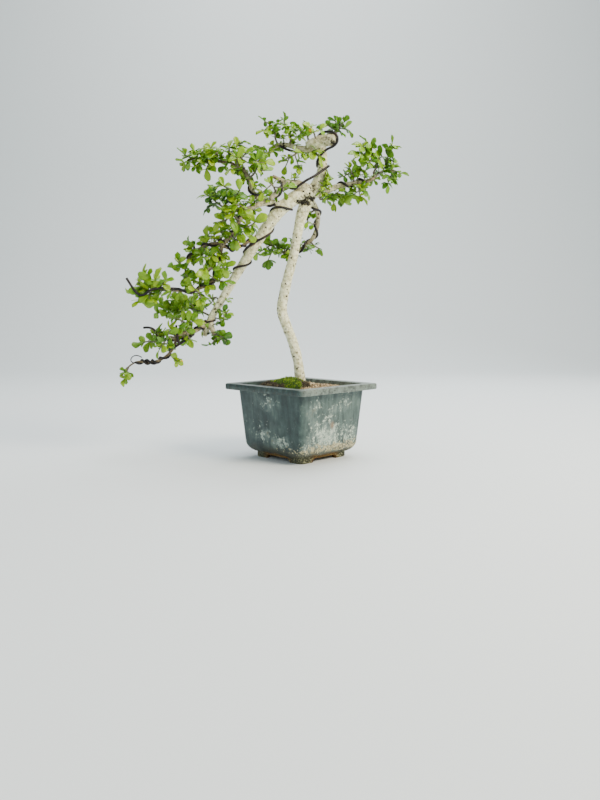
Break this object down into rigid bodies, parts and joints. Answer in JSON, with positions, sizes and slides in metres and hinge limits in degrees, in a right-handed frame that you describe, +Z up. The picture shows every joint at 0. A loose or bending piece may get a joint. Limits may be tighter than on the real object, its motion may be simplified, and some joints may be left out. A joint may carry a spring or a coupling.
{
  "type": "bonsai",
  "caption": "Wired fukien tea bonsai, semi-cascade style, leaning out over the left of its square tapered training pot, with moss and grit on the soil.",
  "frame": {"origin": "middle of the bottom of the whole object's box, on the surface the pot stands on", "axes": "+Z up, the longest extent; +X to the right as seen from the front, the cascade reaches to -X; +Y to the back, the shortest extent; a corner of the pot points to -Y"},
  "size_m": [0.3995, 0.2116, 0.4659],
  "materials": {
    "moss": "soft living moss",
    "pot": "dull, weathered with lime",
    "soil": "coarse dry grit",
    "spray_arm_leaf": "satin living leaf",
    "spray_back_end": "satin living leaf",
    "spray_back_small": "satin living leaf",
    "spray_back_upper": "satin living leaf",
    "spray_cascade_left": "satin living leaf",
    "spray_cascade_right": "satin living leaf",
    "spray_down_bottom": "satin living leaf",
    "spray_down_end": "satin living leaf",
    "spray_down_low": "satin living leaf",
    "spray_down_mid": "satin living leaf",
    "spray_drop_front": "satin living leaf",
    "spray_drop_left_back": "satin living leaf",
    "spray_drop_left_end": "satin living leaf",
    "spray_drop_left_low": "satin living leaf",
    "spray_drop_left_top": "satin living leaf",
    "spray_drop_right": "satin living leaf",
    "spray_drop_upper": "satin living leaf",
    "spray_far_left_end": "satin living leaf",
    "spray_far_left_inner": "satin living leaf",
    "spray_far_left_mid": "satin living leaf",
    "spray_knob_front": "satin living leaf",
    "spray_knob_under": "satin living leaf",
    "spray_leader_side": "satin living leaf",
    "spray_left_end": "satin living leaf",
    "spray_left_front": "satin living leaf",
    "spray_left_upper": "satin living leaf",
    "spray_low_back": "satin living leaf",
    "spray_low_front_up": "satin living leaf",
    "spray_low_left_end": "satin living leaf",
    "spray_mid_right": "satin living leaf",
    "spray_mid_top": "satin living leaf",
    "spray_pale_twig": "satin living leaf",
    "spray_right_low": "satin living leaf",
    "spray_right_rise": "satin living leaf",
    "spray_right_tip": "satin living leaf",
    "spray_right_under": "satin living leaf",
    "spray_right_up": "satin living leaf",
    "spray_stub_side": "satin living leaf",
    "spray_tail_mid": "satin living leaf",
    "spray_tail_tip": "satin living leaf",
    "spray_tail_top": "satin living leaf",
    "spray_top_left_shoot": "satin living leaf",
    "spray_top_left_up": "satin living leaf",
    "spray_top_mid": "satin living leaf",
    "spray_top_right": "satin living leaf",
    "spray_trailing": "satin living leaf",
    "tree": "pale smooth bark with dark specks",
    "wire_arm": "dark brown anodised, worn",
    "wire_back": "dark brown anodised, worn",
    "wire_cascade": "dark brown anodised, worn",
    "wire_down": "dark brown anodised, worn",
    "wire_drop": "dark brown anodised, worn",
    "wire_drop_left": "dark brown anodised, worn",
    "wire_leader": "dark brown anodised, worn",
    "wire_low": "dark brown anodised, worn",
    "wire_mid": "dark brown anodised, worn",
    "wire_right": "dark brown anodised, worn"
  },
  "bodies": {
    "root": {"moss": "moss", "pot": "pot", "soil": "soil", "spray_arm_leaf": "spray_arm_leaf", "spray_back_end": "spray_back_end", "spray_back_small": "spray_back_small", "spray_back_upper": "spray_back_upper", "spray_cascade_left": "spray_cascade_left", "spray_cascade_right": "spray_cascade_right", "spray_down_bottom": "spray_down_bottom", "spray_down_end": "spray_down_end", "spray_down_low": "spray_down_low", "spray_down_mid": "spray_down_mid", "spray_drop_front": "spray_drop_front", "spray_drop_left_back": "spray_drop_left_back", "spray_drop_left_end": "spray_drop_left_end", "spray_drop_left_low": "spray_drop_left_low", "spray_drop_left_top": "spray_drop_left_top", "spray_drop_right": "spray_drop_right", "spray_drop_upper": "spray_drop_upper", "spray_far_left_end": "spray_far_left_end", "spray_far_left_inner": "spray_far_left_inner", "spray_far_left_mid": "spray_far_left_mid", "spray_knob_front": "spray_knob_front", "spray_knob_under": "spray_knob_under", "spray_leader_side": "spray_leader_side", "spray_left_end": "spray_left_end", "spray_left_front": "spray_left_front", "spray_left_upper": "spray_left_upper", "spray_low_back": "spray_low_back", "spray_low_front_up": "spray_low_front_up", "spray_low_left_end": "spray_low_left_end", "spray_mid_right": "spray_mid_right", "spray_mid_top": "spray_mid_top", "spray_pale_twig": "spray_pale_twig", "spray_right_low": "spray_right_low", "spray_right_rise": "spray_right_rise", "spray_right_tip": "spray_right_tip", "spray_right_under": "spray_right_under", "spray_right_up": "spray_right_up", "spray_stub_side": "spray_stub_side", "spray_tail_mid": "spray_tail_mid", "spray_tail_tip": "spray_tail_tip", "spray_tail_top": "spray_tail_top", "spray_top_left_shoot": "spray_top_left_shoot", "spray_top_left_up": "spray_top_left_up", "spray_top_mid": "spray_top_mid", "spray_top_right": "spray_top_right", "spray_trailing": "spray_trailing", "tree": "tree", "wire_arm": "wire_arm", "wire_back": "wire_back", "wire_cascade": "wire_cascade", "wire_down": "wire_down", "wire_drop": "wire_drop", "wire_drop_left": "wire_drop_left", "wire_leader": "wire_leader", "wire_low": "wire_low", "wire_mid": "wire_mid", "wire_right": "wire_right"}
  },
  "joints": []
}
